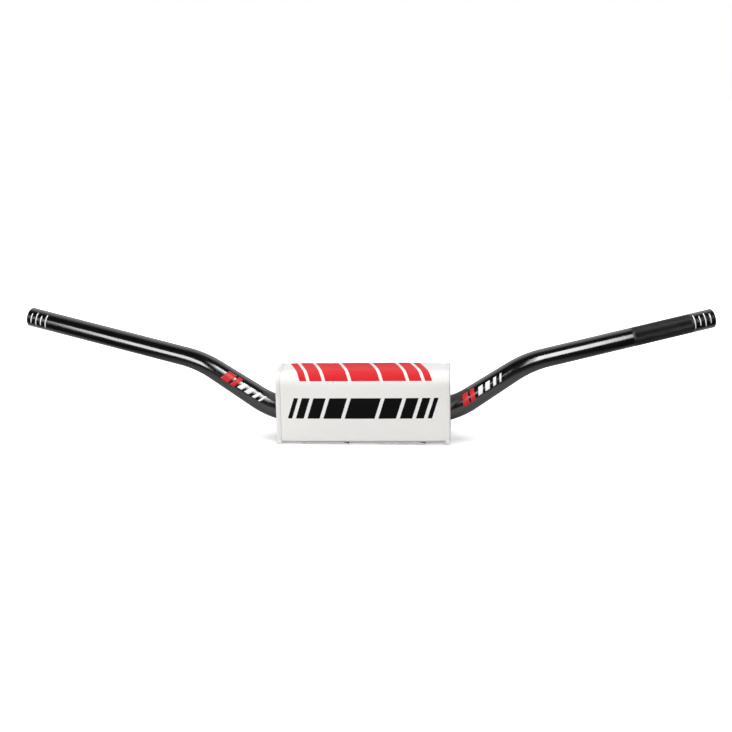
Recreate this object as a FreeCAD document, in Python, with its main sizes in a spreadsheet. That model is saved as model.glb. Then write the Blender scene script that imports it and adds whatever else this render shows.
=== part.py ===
# Motocross handlebar: a bent, tapered and butted aluminium tube that carries a soft cross pad.
# X runs along the clamp to the rider's left, Y points to the rear of the bike, Z points up.
# The origin is the middle of the clamp section, on the axis of the tube.
import FreeCAD, Part
import math
import os
import Sketcher

# Driving dimensions, in millimetres and degrees.
SIZES = {
    # the tube, in the order in which it is bent from the middle outwards
    "clamp_radius": 14.3,
    "clamp_half_length": 73.5,
    "bend_radius": 88.0,
    "rise_angle": 33.8,
    "rise_length": 57.0,
    "middle_radius": 12.0,
    "sweep_angle": 26.7,
    "sweep_turn": 31.8,
    "grip_radius": 11.1,
    "grip_length": 203.0,
    "clamp_wall": 4.2,
    "middle_wall": 3.8,
    "grip_wall": 3.5,
    "end_chamfer": 0.8,
    # the pad's foam block and the vinyl cover that wraps it
    "pad_half_width": 98.0,
    "pad_half_depth": 31.3,
    "pad_top": 51.8,
    "hem_drop": 29.4,
    "corner_radius": 14.0,
    "hem_radius": 2.5,
    "hem_width": 12.0,
    "vinyl": 1.2,
    "layer_gap": 0.3,
    "bar_gap": 0.3,
    # the recess in the foam for the two clamps of the motorcycle
    "recess_half_width": 58.0,
    "recess_half_depth": 24.0,
    "recess_top": 22.0,
    # the tape that binds the seam at each end of the pad
    "binding_width": 4.5,
    "binding_thickness": 0.7,
    "binding_gap": 0.15,
    "binding_rim": 4.0,
    # the two flaps that close the pad below the bar and up its rear face
    "flap_inset": 27.5,
    "flap_gap": 16.5,
    "flap_rise": 28.0,
    "flap_bend": 2.5,
    "flap_setback": 1.5,
    "tape_thickness": 1.0,
    "tape_margin": 3.0,
    "tape_lift": 5.0,
    "hook_height": 18.0,
    "loop_height": 24.0,
}

# Where the rise ends, in the plane of the first bend.
RISE_END_X = (
    "(Sizes.clamp_half_length + Sizes.bend_radius * sin(Sizes.rise_angle * 1deg)"
    " + Sizes.rise_length * cos(Sizes.rise_angle * 1deg))"
)
RISE_END_Z = (
    "(Sizes.bend_radius * (1 - cos(Sizes.rise_angle * 1deg))"
    " + Sizes.rise_length * sin(Sizes.rise_angle * 1deg))"
)
# The plane of the second bend holds the rise and is turned about it.
SWEEP_PLANE = (
    f"placement(vector({RISE_END_X}; {RISE_END_Z}; 0);"
    " rotation(Sizes.rise_angle; 0; Sizes.sweep_turn + 180))"
)
# Planes square to the tube's axis, where its diameter is set.
ACROSS = "rotation(0; 90; 0)"
BEND_START = "placement(vector(0; 0; Sizes.clamp_half_length); rotation(0; 0; 0))"
RISE_END = f"placement(vector({RISE_END_X}; {RISE_END_Z}; 0); rotation(Sizes.rise_angle; 0; 0) * {ACROSS})"
SWEEP_START = f"{SWEEP_PLANE} * placement(vector(0; 0; 0); {ACROSS})"
SWEEP_END = (
    f"{SWEEP_PLANE} * placement(vector(Sizes.bend_radius * sin(Sizes.sweep_angle * 1deg);"
    " Sizes.bend_radius * (1 - cos(Sizes.sweep_angle * 1deg)); 0);"
    f" rotation(Sizes.sweep_angle; 0; 0) * {ACROSS})"
)

# The size at which a round or a rectangle is first drawn, before the sheet sets it.
DRAWN = 10.0

doc = FreeCAD.newDocument("handlebar")
sheet = doc.addObject("Spreadsheet::Sheet", "Sizes")
for row, (alias, value) in enumerate(SIZES.items(), start=1):
    sheet.set(f"A{row}", alias)
    sheet.set(f"B{row}", str(value))
    sheet.setAlias(f"B{row}", alias)
doc.recompute()


# Helpers for bodies and sketches

def point(x, y):
    """A point in a sketch's plane."""
    return FreeCAD.Vector(x, y, 0)


def add_body(name):
    """A new body with its own origin planes."""
    body = doc.addObject("PartDesign::Body", name)
    doc.recompute()
    return body


def origin_plane(body, role):
    """One of the body's own origin planes, by its role."""
    return next(plane for plane in body.Origin.OriginFeatures if plane.Role == role)


def add_sketch(body, name, role, offset=None):
    """An empty sketch on an origin plane, with an offset that follows the sheet."""
    sketch = body.newObject("Sketcher::SketchObject", name)
    sketch.AttachmentSupport = [(origin_plane(body, role), "")]
    sketch.MapMode = "FlatFace"
    if offset:
        sketch.setExpression("AttachmentOffset", offset)
    return sketch


def constrain(sketch, *rule, size=None):
    """Adds one constraint and ties its value to the sheet."""
    index = sketch.addConstraint(Sketcher.Constraint(*rule))
    if size:
        name = f"size_{index}"
        sketch.renameConstraint(index, name)
        sketch.setExpression(f"Constraints.{name}", size)


def add_line(sketch, start, end):
    """A straight edge between two points."""
    sketch.addGeometry(Part.LineSegment(point(*start), point(*end)), False)


def add_arc(sketch, centre, radius, start, end):
    """An arc between two angles in degrees, counter-clockwise."""
    circle = Part.Circle(point(*centre), FreeCAD.Vector(0, 0, 1), radius)
    sketch.addGeometry(Part.ArcOfCircle(circle, math.radians(start), math.radians(end)), False)


def add_circle(body, name, role, radius, offset=None):
    """A circle about the sketch's own origin."""
    sketch = add_sketch(body, name, role, offset)
    sketch.addGeometry(Part.Circle(point(0, 0), FreeCAD.Vector(0, 0, 1), DRAWN), False)
    constrain(sketch, "Coincident", 0, 3, -1, 1)
    constrain(sketch, "Radius", 0, DRAWN, size=radius)
    return sketch


def add_bend(body, name, run, offset=None, start=None, angle="rise_angle"):
    """A bend of the tube's axis that leaves along the sketch's x, with the straight run after it."""
    sketch = add_sketch(body, name, "XZ_Plane", offset)
    begin = SIZES[start] if start else 0.0
    radius = SIZES["bend_radius"]
    turn = math.radians(SIZES[angle])
    length = SIZES[run]
    bend_end = (begin + radius * math.sin(turn), radius * (1 - math.cos(turn)))
    run_end = (bend_end[0] + length * math.cos(turn), bend_end[1] + length * math.sin(turn))
    add_arc(sketch, (begin, radius), radius, -90, -90 + SIZES[angle])
    add_line(sketch, bend_end, run_end)
    constrain(sketch, "Vertical", 0, 1, 0, 3)
    constrain(sketch, "Radius", 0, radius, size="Sizes.bend_radius")
    constrain(sketch, "Angle", 0, turn, size=f"Sizes.{angle}")
    if start:
        constrain(sketch, "PointOnObject", 0, 1, -1)
        constrain(sketch, "DistanceX", -1, 1, 0, 1, begin, size=f"Sizes.{start}")
    else:
        constrain(sketch, "Coincident", 0, 1, -1, 1)
    constrain(sketch, "Tangent", 0, 2, 1, 1)
    constrain(sketch, "Distance", 1, length, size=f"Sizes.{run}")
    return sketch


def close_chain(sketch, kinds):
    """Joins edges end to end in a ring: tangent at an arc, else by the point."""
    count = len(kinds)
    for index, kind in enumerate(kinds):
        following = (index + 1) % count
        smooth = "arc" in (kind, kinds[following])
        constrain(sketch, "Tangent" if smooth else "Coincident", index, 2, following, 1)


def add_block(body, name, offset, depth, top, drop, top_radius, foot_radius=None):
    """A block's outline across the bar, with rounded top corners and square or rounded feet."""
    sketch = add_sketch(body, name, "YZ_Plane", offset)
    half, high, low = SIZES["pad_half_depth"], SIZES["pad_top"], -SIZES["hem_drop"]
    corner, foot = SIZES["corner_radius"], SIZES["hem_radius"] if foot_radius else 0.0
    kinds = []
    add_line(sketch, (-half + foot, low), (half - foot, low))
    kinds.append("line")
    if foot_radius:
        add_arc(sketch, (half - foot, low + foot), foot, -90, 0)
        kinds.append("arc")
    rear = len(kinds)
    add_line(sketch, (half, low + foot), (half, high - corner))
    add_arc(sketch, (half - corner, high - corner), corner, 0, 90)
    add_line(sketch, (half - corner, high), (-half + corner, high))
    add_arc(sketch, (-half + corner, high - corner), corner, 90, 180)
    add_line(sketch, (-half, high - corner), (-half, low + foot))
    kinds += ["line", "arc", "line", "arc", "line"]
    if foot_radius:
        add_arc(sketch, (-half + foot, low + foot), foot, 180, 270)
        kinds.append("arc")
    close_chain(sketch, kinds)
    constrain(sketch, "Horizontal", 0)
    constrain(sketch, "Vertical", rear)
    constrain(sketch, "Horizontal", rear + 2)
    constrain(sketch, "Vertical", rear + 4)
    constrain(sketch, "Equal", rear + 1, rear + 3)
    constrain(sketch, "Radius", rear + 1, corner, size=top_radius)
    constrain(sketch, "DistanceX", -1, 1, rear, 2, half, size=depth)
    constrain(sketch, "DistanceX", rear + 4, 1, -1, 1, half, size=depth)
    constrain(sketch, "DistanceY", -1, 1, rear + 2, 1, high, size=top)
    constrain(sketch, "DistanceY", 0, 1, -1, 1, -low, size=drop)
    if foot_radius:
        constrain(sketch, "Equal", rear - 1, rear + 5)
        constrain(sketch, "Radius", rear - 1, foot, size=foot_radius)
    return sketch


def add_rectangle(body, name, role, offset, left, right, bottom, top):
    """A rectangle by its distances from the sketch's origin."""
    sketch = add_sketch(body, name, role, offset)
    add_line(sketch, (-DRAWN, -DRAWN), (DRAWN, -DRAWN))
    add_line(sketch, (DRAWN, -DRAWN), (DRAWN, DRAWN))
    add_line(sketch, (DRAWN, DRAWN), (-DRAWN, DRAWN))
    add_line(sketch, (-DRAWN, DRAWN), (-DRAWN, -DRAWN))
    close_chain(sketch, ["line"] * 4)
    for index, direction in enumerate(("Horizontal", "Vertical", "Horizontal", "Vertical")):
        constrain(sketch, direction, index)
    constrain(sketch, "DistanceX", 3, 1, -1, 1, DRAWN, size=left)
    constrain(sketch, "DistanceX", -1, 1, 1, 1, DRAWN, size=right)
    constrain(sketch, "DistanceY", 0, 1, -1, 1, DRAWN, size=bottom)
    constrain(sketch, "DistanceY", -1, 1, 2, 1, DRAWN, size=top)
    return sketch


def grow(body, feature):
    """Recomputes, and stops if a feature that adds or cuts has changed nothing."""
    before = body.Shape.Volume if body.Shape.Solids else 0.0
    doc.recompute()
    if not feature.isValid() or abs(feature.Shape.Volume - before) < 1.0:
        raise RuntimeError(f"{body.Name}: {feature.Name} changed nothing")
    return feature


def sweep(body, kind, name, profile, path, edges, sections=()):
    """A pipe along a path, straight from one round section to the next."""
    pipe = body.newObject(f"PartDesign::{kind}Pipe", name)
    pipe.Profile = profile
    pipe.Spine = (path, edges)
    if sections:
        pipe.Sections = [(section, [""]) for section in sections]
        pipe.Transformation = "Multisection"
    return grow(body, pipe)


def extrude(body, kind, name, profile, length, both_ways=False, backwards=False):
    """A pad or a pocket of a sketch, by a length from the sheet."""
    feature = body.newObject(f"PartDesign::{kind}", name)
    feature.Profile = profile
    feature.setExpression("Length", length)
    if both_ways:
        feature.SideType = "Symmetric"
    feature.Reversed = backwards
    return grow(body, feature)


def mirror_half(body):
    """Mirrors all of the body across the bike's middle plane and joins the halves."""
    mirror = body.newObject("PartDesign::Mirrored", f"{body.Name}_both_halves")
    mirror.TransformMode = "Whole shape"
    mirror.MirrorPlane = (origin_plane(body, "YZ_Plane"), [""])
    mirror.Refine = True
    body.Tip = mirror
    doc.recompute()


def mirror_copy(source, name):
    """The same piece on the other side of the bike."""
    copy = doc.addObject("Part::Mirroring", name)
    copy.Source = source
    copy.Normal = FreeCAD.Vector(1, 0, 0)
    doc.recompute()
    return copy


# The tube: one half is swept, hollowed and then mirrored

def tube_half(body, kind, suffix, clamp_size, middle_size, grip_size, rise_path, sweep_path):
    """One skin of the tube's half: clamp, first bend with the rise, second bend and grip."""
    clamp_round = add_circle(body, f"clamp_{suffix}_round", "YZ_Plane", clamp_size)
    solid = "Pad" if kind == "Additive" else "Pocket"
    cutting = kind == "Subtractive"
    extrude(body, solid, f"clamp_{suffix}", clamp_round, "Sizes.clamp_half_length", backwards=cutting)
    bend_round = add_circle(body, f"bend_{suffix}_round", "YZ_Plane", clamp_size, BEND_START)
    rise_round = add_circle(body, f"rise_{suffix}_round", "XZ_Plane", middle_size, RISE_END)
    sweep(body, kind, f"rise_{suffix}", bend_round, rise_path, ["Edge1", "Edge2"], [rise_round])
    sweep_round = add_circle(body, f"sweep_{suffix}_round", "XZ_Plane", middle_size, SWEEP_START)
    grip_round = add_circle(body, f"grip_{suffix}_round", "XZ_Plane", grip_size, SWEEP_END)
    sweep(body, kind, f"sweep_{suffix}", sweep_round, sweep_path, ["Edge1"], [grip_round])
    return extrude(body, solid, f"grip_{suffix}", grip_round, "Sizes.grip_length", backwards=cutting)


def make_tube():
    """The bar itself: large in the clamp, tapered through both bends, small and straight at the grips."""
    body = add_body("handlebar_tube")
    rise_path = add_bend(body, "rise_path", "rise_length", start="clamp_half_length")
    sweep_path = add_bend(body, "sweep_path", "grip_length", offset=SWEEP_PLANE, angle="sweep_angle")
    tube_half(body, "Additive", "wall", "Sizes.clamp_radius", "Sizes.middle_radius",
              "Sizes.grip_radius", rise_path, sweep_path)
    tube_half(body, "Subtractive", "bore", "Sizes.clamp_radius - Sizes.clamp_wall",
              "Sizes.middle_radius - Sizes.middle_wall", "Sizes.grip_radius - Sizes.grip_wall",
              rise_path, sweep_path)
    end_face = max(body.Shape.Faces, key=lambda face: face.CenterOfMass.x)
    rims = [f"Edge{number}" for number, edge in enumerate(body.Shape.Edges, start=1)
            if any(edge.isSame(rim) for rim in end_face.Edges)]
    hollow = body.Tip
    chamfer = body.newObject("PartDesign::Chamfer", "end_chamfer")
    chamfer.Base = (hollow, rims)
    chamfer.setExpression("Size", "Sizes.end_chamfer")
    grow(body, chamfer)
    mirror_half(body)
    return body


# The pad: foam, cover, end panels, bindings and flaps

COVER_DEPTH = "Sizes.pad_half_depth"
LINING_DEPTH = "Sizes.pad_half_depth - Sizes.vinyl"
FOAM_DEPTH = "Sizes.pad_half_depth - Sizes.vinyl - Sizes.layer_gap"
PANEL_START = "placement(vector(0; 0; Sizes.pad_half_width - Sizes.vinyl); rotation(0; 0; 0))"
CHANNEL_RADIUS = "(Sizes.clamp_radius + Sizes.bar_gap)"
# The height of the bar's upper side, with its gap, where it leaves the pad in the first bend.
CHANNEL_TOP = (
    f"(Sizes.bend_radius - sqrt((Sizes.bend_radius - {CHANNEL_RADIUS})^2"
    " - (Sizes.pad_half_width - Sizes.clamp_half_length)^2))"
)
FLAP_WIDTH = "(Sizes.pad_half_width - Sizes.flap_inset - Sizes.flap_gap)"


def cut_for_bar(body):
    """A channel cut straight through for the bar, open below, with a round top that clears the bar's rise."""
    sketch = add_sketch(body, f"{body.Name}_channel_outline", "YZ_Plane")
    half = SIZES["clamp_radius"] + SIZES["bar_gap"]
    low = -SIZES["hem_drop"] - SIZES["vinyl"]
    add_line(sketch, (-half, low), (half, low))
    add_line(sketch, (half, low), (half, 0))
    add_arc(sketch, (0, 0), half, 0, 180)
    add_line(sketch, (-half, 0), (-half, low))
    close_chain(sketch, ["line", "line", "arc", "line"])
    constrain(sketch, "Horizontal", 0)
    constrain(sketch, "Vertical", 1)
    constrain(sketch, "Vertical", 3)
    constrain(sketch, "PointOnObject", 2, 3, -2)
    constrain(sketch, "Radius", 2, half, size=CHANNEL_RADIUS)
    constrain(sketch, "DistanceY", -1, 1, 2, 3, 0.0, size=f"{CHANNEL_TOP} - {CHANNEL_RADIUS}")
    constrain(sketch, "DistanceY", 0, 1, -1, 1, -low, size="Sizes.hem_drop + Sizes.vinyl")
    extrude(body, "Pocket", f"{body.Name}_channel", sketch, "2 * Sizes.pad_half_width", both_ways=True)


def make_foam():
    """The foam block, with a channel for the bar and a recess for the clamps."""
    body = add_body("pad_foam")
    outline = add_block(body, "foam_outline", None, FOAM_DEPTH,
                        "Sizes.pad_top - Sizes.vinyl - Sizes.layer_gap",
                        "Sizes.hem_drop - Sizes.vinyl - Sizes.layer_gap",
                        "Sizes.corner_radius - Sizes.vinyl - Sizes.layer_gap",
                        "Sizes.hem_radius - Sizes.vinyl - Sizes.layer_gap")
    extrude(body, "Pad", "foam_block", outline, "Sizes.pad_half_width - Sizes.vinyl - Sizes.layer_gap")
    cut_for_bar(body)
    recess = add_rectangle(body, "recess_outline", "XY_Plane",
                           "placement(vector(0; 0; Sizes.recess_top); rotation(0; 0; 0))",
                           "Sizes.recess_half_width", "Sizes.recess_half_width",
                           "Sizes.recess_half_depth", "Sizes.recess_half_depth")
    extrude(body, "Pocket", "clamp_recess", recess, "Sizes.recess_top + Sizes.hem_drop")
    mirror_half(body)
    return body


def make_cover():
    """The vinyl sheet round the front, top and rear, turned in below as two hems."""
    body = add_body("pad_cover")
    outside = add_block(body, "cover_outline", None, COVER_DEPTH, "Sizes.pad_top", "Sizes.hem_drop",
                        "Sizes.corner_radius", "Sizes.hem_radius")
    inside = add_block(body, "lining_outline", None, LINING_DEPTH, "Sizes.pad_top - Sizes.vinyl",
                       "Sizes.hem_drop - Sizes.vinyl", "Sizes.corner_radius - Sizes.vinyl",
                       "Sizes.hem_radius - Sizes.vinyl")
    width = "2 * (Sizes.pad_half_width - Sizes.vinyl)"
    extrude(body, "Pad", "cover_block", outside, width, both_ways=True)
    extrude(body, "Pocket", "cover_inside", inside, width, both_ways=True)
    mouth = add_rectangle(body, "mouth_outline", "YZ_Plane", None,
                          "Sizes.pad_half_depth - Sizes.hem_width", "Sizes.pad_half_depth - Sizes.hem_width",
                          "Sizes.hem_drop + Sizes.vinyl", "-Sizes.clamp_radius")
    extrude(body, "Pocket", "cover_mouth", mouth, width, both_ways=True)
    return body


def make_end_panel():
    """The panel sewn into one end of the cover, open below for the bar."""
    body = add_body("end_panel_left")
    outline = add_block(body, "panel_outline", PANEL_START, COVER_DEPTH, "Sizes.pad_top", "Sizes.hem_drop",
                        "Sizes.corner_radius", "Sizes.hem_radius")
    extrude(body, "Pad", "panel_sheet", outline, "Sizes.vinyl")
    cut_for_bar(body)
    return body


def make_binding():
    """The tape folded over the seam between the cover and an end panel."""
    body = add_body("edge_binding_left")
    start = "placement(vector(0; 0; Sizes.pad_half_width - Sizes.binding_width); rotation(0; 0; 0))"
    foot = "Sizes.hem_drop + Sizes.vinyl"
    outer = add_block(body, "binding_outline", start,
                      "Sizes.pad_half_depth + Sizes.binding_gap + Sizes.binding_thickness",
                      "Sizes.pad_top + Sizes.binding_gap + Sizes.binding_thickness", foot,
                      "Sizes.corner_radius + Sizes.binding_gap + Sizes.binding_thickness")
    extrude(body, "Pad", "binding_band", outer, "Sizes.binding_width + Sizes.binding_thickness")
    seam = add_block(body, "seam_outline", start, "Sizes.pad_half_depth + Sizes.binding_gap",
                     "Sizes.pad_top + Sizes.binding_gap", f"{foot} + Sizes.binding_thickness",
                     "Sizes.corner_radius + Sizes.binding_gap")
    extrude(body, "Pocket", "binding_seam", seam, "Sizes.binding_width", backwards=True)
    opening = add_block(body, "rim_outline", start, "Sizes.pad_half_depth - Sizes.binding_rim",
                        "Sizes.pad_top - Sizes.binding_rim", f"{foot} + Sizes.binding_thickness",
                        "Sizes.corner_radius - Sizes.binding_rim")
    extrude(body, "Pocket", "binding_rim", opening, "Sizes.binding_width + Sizes.binding_thickness",
            backwards=True)
    return body


def make_flap():
    """A closing flap: sewn below the front hem, run under the bar and turned up the rear."""
    body = add_body("closure_flap_left")
    start = "placement(vector(0; 0; Sizes.flap_gap); rotation(0; 0; 0))"
    sketch = add_sketch(body, "flap_outline", "YZ_Plane", start)
    rear = SIZES["pad_half_depth"] + 2 * SIZES["tape_thickness"]
    front, low = -SIZES["pad_half_depth"] + SIZES["flap_setback"], -SIZES["hem_drop"]
    thick, bend, high = SIZES["vinyl"], SIZES["flap_bend"], -SIZES["hem_drop"] + SIZES["flap_rise"]
    add_line(sketch, (front, low - thick), (rear - bend, low - thick))
    add_arc(sketch, (rear - bend, low + bend), bend + thick, -90, 0)
    add_line(sketch, (rear + thick, low + bend), (rear + thick, high))
    add_line(sketch, (rear + thick, high), (rear, high))
    add_line(sketch, (rear, high), (rear, low + bend))
    add_arc(sketch, (rear - bend, low + bend), bend, -90, 0)
    add_line(sketch, (rear - bend, low), (front, low))
    add_line(sketch, (front, low), (front, low - thick))
    constrain(sketch, "Tangent", 0, 2, 1, 1)
    constrain(sketch, "Tangent", 1, 2, 2, 1)
    constrain(sketch, "Coincident", 2, 2, 3, 1)
    constrain(sketch, "Coincident", 3, 2, 4, 1)
    constrain(sketch, "Tangent", 4, 2, 5, 2)
    constrain(sketch, "Tangent", 5, 1, 6, 1)
    constrain(sketch, "Coincident", 6, 2, 7, 1)
    constrain(sketch, "Coincident", 7, 2, 0, 1)
    constrain(sketch, "Coincident", 1, 3, 5, 3)
    constrain(sketch, "Horizontal", 0)
    constrain(sketch, "Vertical", 2)
    constrain(sketch, "Horizontal", 3)
    constrain(sketch, "Vertical", 7)
    constrain(sketch, "Radius", 5, bend, size="Sizes.flap_bend")
    constrain(sketch, "Distance", 3, thick, size="Sizes.vinyl")
    constrain(sketch, "DistanceX", -1, 1, 4, 1, rear, size="Sizes.pad_half_depth + 2 * Sizes.tape_thickness")
    constrain(sketch, "DistanceX", 6, 2, -1, 1, -front, size="Sizes.pad_half_depth - Sizes.flap_setback")
    constrain(sketch, "DistanceY", 6, 2, -1, 1, -low, size="Sizes.hem_drop")
    constrain(sketch, "DistanceY", 6, 2, 4, 1, SIZES["flap_rise"], size="Sizes.flap_rise")
    extrude(body, "Pad", "flap_sheet", sketch, FLAP_WIDTH)
    return body


def make_tape(name, layer, height):
    """A strip of hook or loop tape between a flap and the rear of the cover."""
    tape = doc.addObject("Part::Box", name)
    tape.setExpression("Length", f"{FLAP_WIDTH} - 2 * Sizes.tape_margin")
    tape.setExpression("Width", "Sizes.tape_thickness")
    tape.setExpression("Height", height)
    tape.setExpression("Placement.Base.x", "Sizes.flap_gap + Sizes.tape_margin")
    tape.setExpression("Placement.Base.y", f"Sizes.pad_half_depth + {layer} * Sizes.tape_thickness")
    tape.setExpression("Placement.Base.z", "Sizes.tape_lift - Sizes.hem_drop")
    doc.recompute()
    return tape


panel = make_end_panel()
binding = make_binding()
flap = make_flap()
loop_tape = make_tape("loop_tape_left", 0, "Sizes.loop_height")
hook_tape = make_tape("hook_tape_left", 1, "Sizes.hook_height")
pieces = [make_tube(), make_foam(), make_cover(), panel, binding, flap, loop_tape, hook_tape]
pieces += [mirror_copy(piece, piece.Name.replace("left", "right"))
           for piece in (panel, binding, flap, loop_tape, hook_tape)]

for item in doc.Objects:
    if {"Invalid", "Error"} & set(item.State):
        raise RuntimeError(f"{item.Name} failed: {item.State}")
for piece in pieces:
    if piece.Shape.isNull() or not piece.Shape.isValid() or not piece.Shape.Solids:
        raise RuntimeError(f"{piece.Name} is not a valid solid")

os.makedirs("parts", exist_ok=True)
for piece in pieces:
    piece.Shape.exportStep(f"parts/{piece.Name}.step")
    print(piece.Name, len(piece.Shape.Solids), round(piece.Shape.Volume), len(piece.Shape.Faces))
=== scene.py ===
import logging
import math
from collections.abc import Callable, Iterator, Sequence
from dataclasses import dataclass, field
from enum import Enum

import bmesh
import bpy
from mathutils import Matrix, Vector, noise


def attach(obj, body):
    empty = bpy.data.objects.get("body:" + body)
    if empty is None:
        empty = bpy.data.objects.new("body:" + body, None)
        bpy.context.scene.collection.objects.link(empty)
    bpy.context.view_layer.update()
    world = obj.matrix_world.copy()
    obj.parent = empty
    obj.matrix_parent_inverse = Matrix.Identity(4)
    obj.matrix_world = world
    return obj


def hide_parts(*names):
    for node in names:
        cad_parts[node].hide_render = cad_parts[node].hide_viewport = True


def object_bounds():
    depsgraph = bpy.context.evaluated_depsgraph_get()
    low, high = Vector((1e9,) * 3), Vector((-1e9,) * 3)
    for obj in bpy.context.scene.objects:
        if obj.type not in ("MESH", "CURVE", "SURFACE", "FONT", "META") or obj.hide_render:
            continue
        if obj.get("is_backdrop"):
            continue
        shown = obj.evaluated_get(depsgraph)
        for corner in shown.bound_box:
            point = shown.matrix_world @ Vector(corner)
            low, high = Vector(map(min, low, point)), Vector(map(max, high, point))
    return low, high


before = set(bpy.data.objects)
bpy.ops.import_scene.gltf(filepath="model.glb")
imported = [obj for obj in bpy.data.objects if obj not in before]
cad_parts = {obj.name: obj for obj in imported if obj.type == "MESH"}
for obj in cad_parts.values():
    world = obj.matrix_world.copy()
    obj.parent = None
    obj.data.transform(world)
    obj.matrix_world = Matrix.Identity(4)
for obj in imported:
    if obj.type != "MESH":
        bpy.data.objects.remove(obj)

# A motocross handlebar with its bar pad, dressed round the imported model.
# X runs to the rider's left, Y to the rear of the bike and Z up, in metres; the camera looks at the front.

log = logging.getLogger("handlebar")
CAD_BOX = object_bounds()
MM = 0.001
AXIAL = Vector((1.0, 0.0, 0.0))
REARWARD = Vector((0.0, 1.0, 0.0))
UPWARD = Vector((0.0, 0.0, 1.0))


class Side(Enum):
    """The rider's left or right half of the bar."""

    LEFT = 1
    RIGHT = -1

    @property
    def word(self) -> str:
        """The side's name, as the nodes spell it."""
        return self.name.lower()


# Making meshes

def finish_piece(mesh: bmesh.types.BMesh, name: str, finishes: Sequence[bpy.types.Material],
                 sharp_from: float = 40.0) -> bpy.types.Object:
    """Turns a bmesh into a piece of the object that rides on its one body.

    Args:
        mesh: The finished bmesh, which is freed.
        name: The piece's name.
        finishes: Its materials, in slot order.
        sharp_from: The angle in degrees from which an edge is drawn sharp.

    Returns:
        The new object, at the origin.
    """
    data = bpy.data.meshes.new(name)
    mesh.to_mesh(data)
    mesh.free()
    for finish in finishes:
        data.materials.append(finish)
    data.shade_smooth()
    data.set_sharp_from_angle(angle=math.radians(sharp_from))
    piece = bpy.data.objects.new(name, data)
    bpy.context.scene.collection.objects.link(piece)
    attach(piece, "root")
    log.info("%s: %d faces", name, len(data.polygons))
    return piece


def axes(along: Vector, across: Vector, outward: Vector) -> Matrix:
    """A turn whose own X, Y and Z look in those three directions."""
    return Matrix((along, across, outward)).transposed().to_4x4()


def draw_ring(mesh: bmesh.types.BMesh, edges: Sequence[bmesh.types.BMEdge], before: Matrix,
              after: Matrix) -> tuple[list[bmesh.types.BMVert], list[bmesh.types.BMEdge]]:
    """Draws a ring of edges out into a wall.

    Args:
        mesh: The bmesh that holds the ring.
        edges: The ring's edges.
        before: The place where the ring stands, with its scale.
        after: The place of the new ring, with its scale.

    Returns:
        The new ring's corners and edges.
    """
    drawn = bmesh.ops.extrude_edge_only(mesh, edges=edges)["geom"]
    verts = [item for item in drawn if isinstance(item, bmesh.types.BMVert)]
    bmesh.ops.transform(mesh, matrix=after @ before.inverted(), verts=verts)
    return verts, [item for item in drawn if isinstance(item, bmesh.types.BMEdge)]


def add_grid(mesh: bmesh.types.BMesh, columns: int, rows: int, flat: tuple[float, float],
             place: Callable[[float, float], Vector], outward: Vector) -> None:
    """Adds a sheet whose every point is placed by a function of its two shares, from 0 to 1.

    Args:
        mesh: The bmesh that takes the sheet.
        columns: The number of cells across.
        rows: The number of cells along.
        flat: The sheet's flat width and length in metres, which its UV map holds.
        place: Gives the point in space for the shares across and along.
        outward: The direction that the sheet looks in on the whole.
    """
    uv = mesh.loops.layers.uv.verify()
    made = bmesh.ops.create_grid(mesh, x_segments=columns, y_segments=rows, size=0.5)["verts"]
    shares = {vert: (vert.co.x + 0.5, vert.co.y + 0.5) for vert in made}
    faces = {face for vert in made for face in vert.link_faces}
    for face in faces:
        for loop in face.loops:
            across, along = shares[loop.vert]
            loop[uv].uv = (across * flat[0], along * flat[1])
    for vert, (across, along) in shares.items():
        vert.co = place(across, along)
    mesh.normal_update()
    if sum(face.normal.dot(outward) * face.calc_area() for face in faces) < 0:
        bmesh.ops.reverse_faces(mesh, faces=list(faces))


def thicken(piece: bpy.types.Object, thickness: float, inner_slot: int = 0) -> None:
    """Gives a sheet its thickness, inward from its outer face.

    Args:
        piece: The sheet.
        thickness: Its thickness in metres.
        inner_slot: How many slots further the inner face's material lies.
    """
    solid = piece.modifiers.new("thickness", "SOLIDIFY")
    solid.thickness = thickness
    solid.offset = -1.0
    solid.use_even_offset = True
    solid.material_offset = inner_slot


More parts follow.
